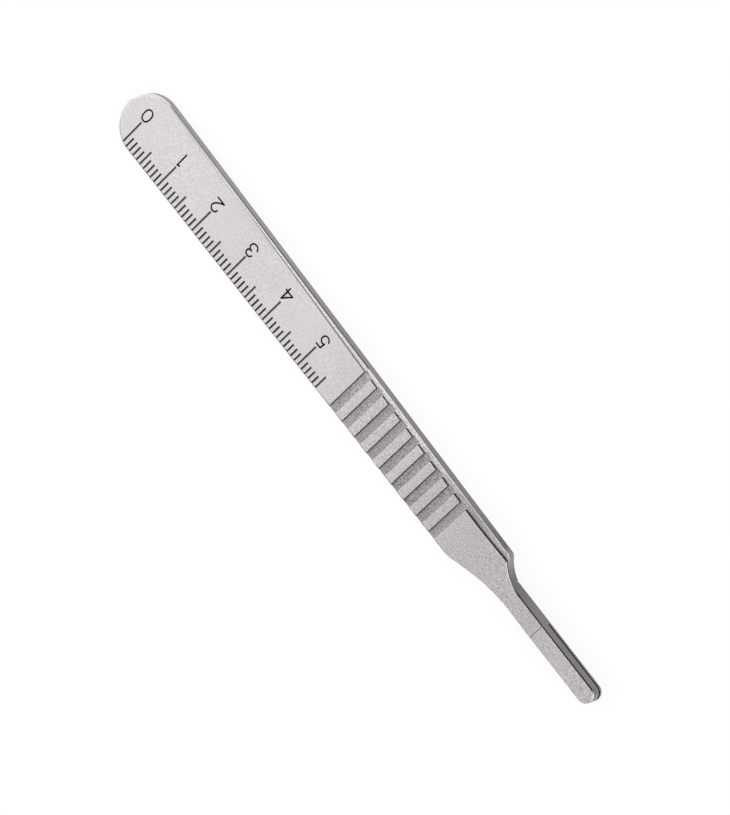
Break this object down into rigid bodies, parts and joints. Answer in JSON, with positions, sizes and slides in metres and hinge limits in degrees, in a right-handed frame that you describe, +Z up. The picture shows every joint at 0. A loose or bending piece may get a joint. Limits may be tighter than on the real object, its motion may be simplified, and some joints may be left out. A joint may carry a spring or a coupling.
{
  "type": "scalpel handle",
  "caption": "Flat steel scalpel handle with a round butt, an engraved ruler, recessed grip bands, a stepped edge and a grooved boss for a slide-on blade.",
  "frame": {"origin": "centre of the footprint, on the surface that the handle rests on", "axes": "+X from the butt to the blade tang, +Y to the stepped edge, +Z up out of the ruler face"},
  "size_m": [0.131, 0.0116, 0.0036],
  "materials": {
    "steel": "satin stainless steel with fine blasted recesses and dark engraved ruler marks"
  },
  "bodies": {
    "root": {"handle": "steel"}
  },
  "joints": []
}
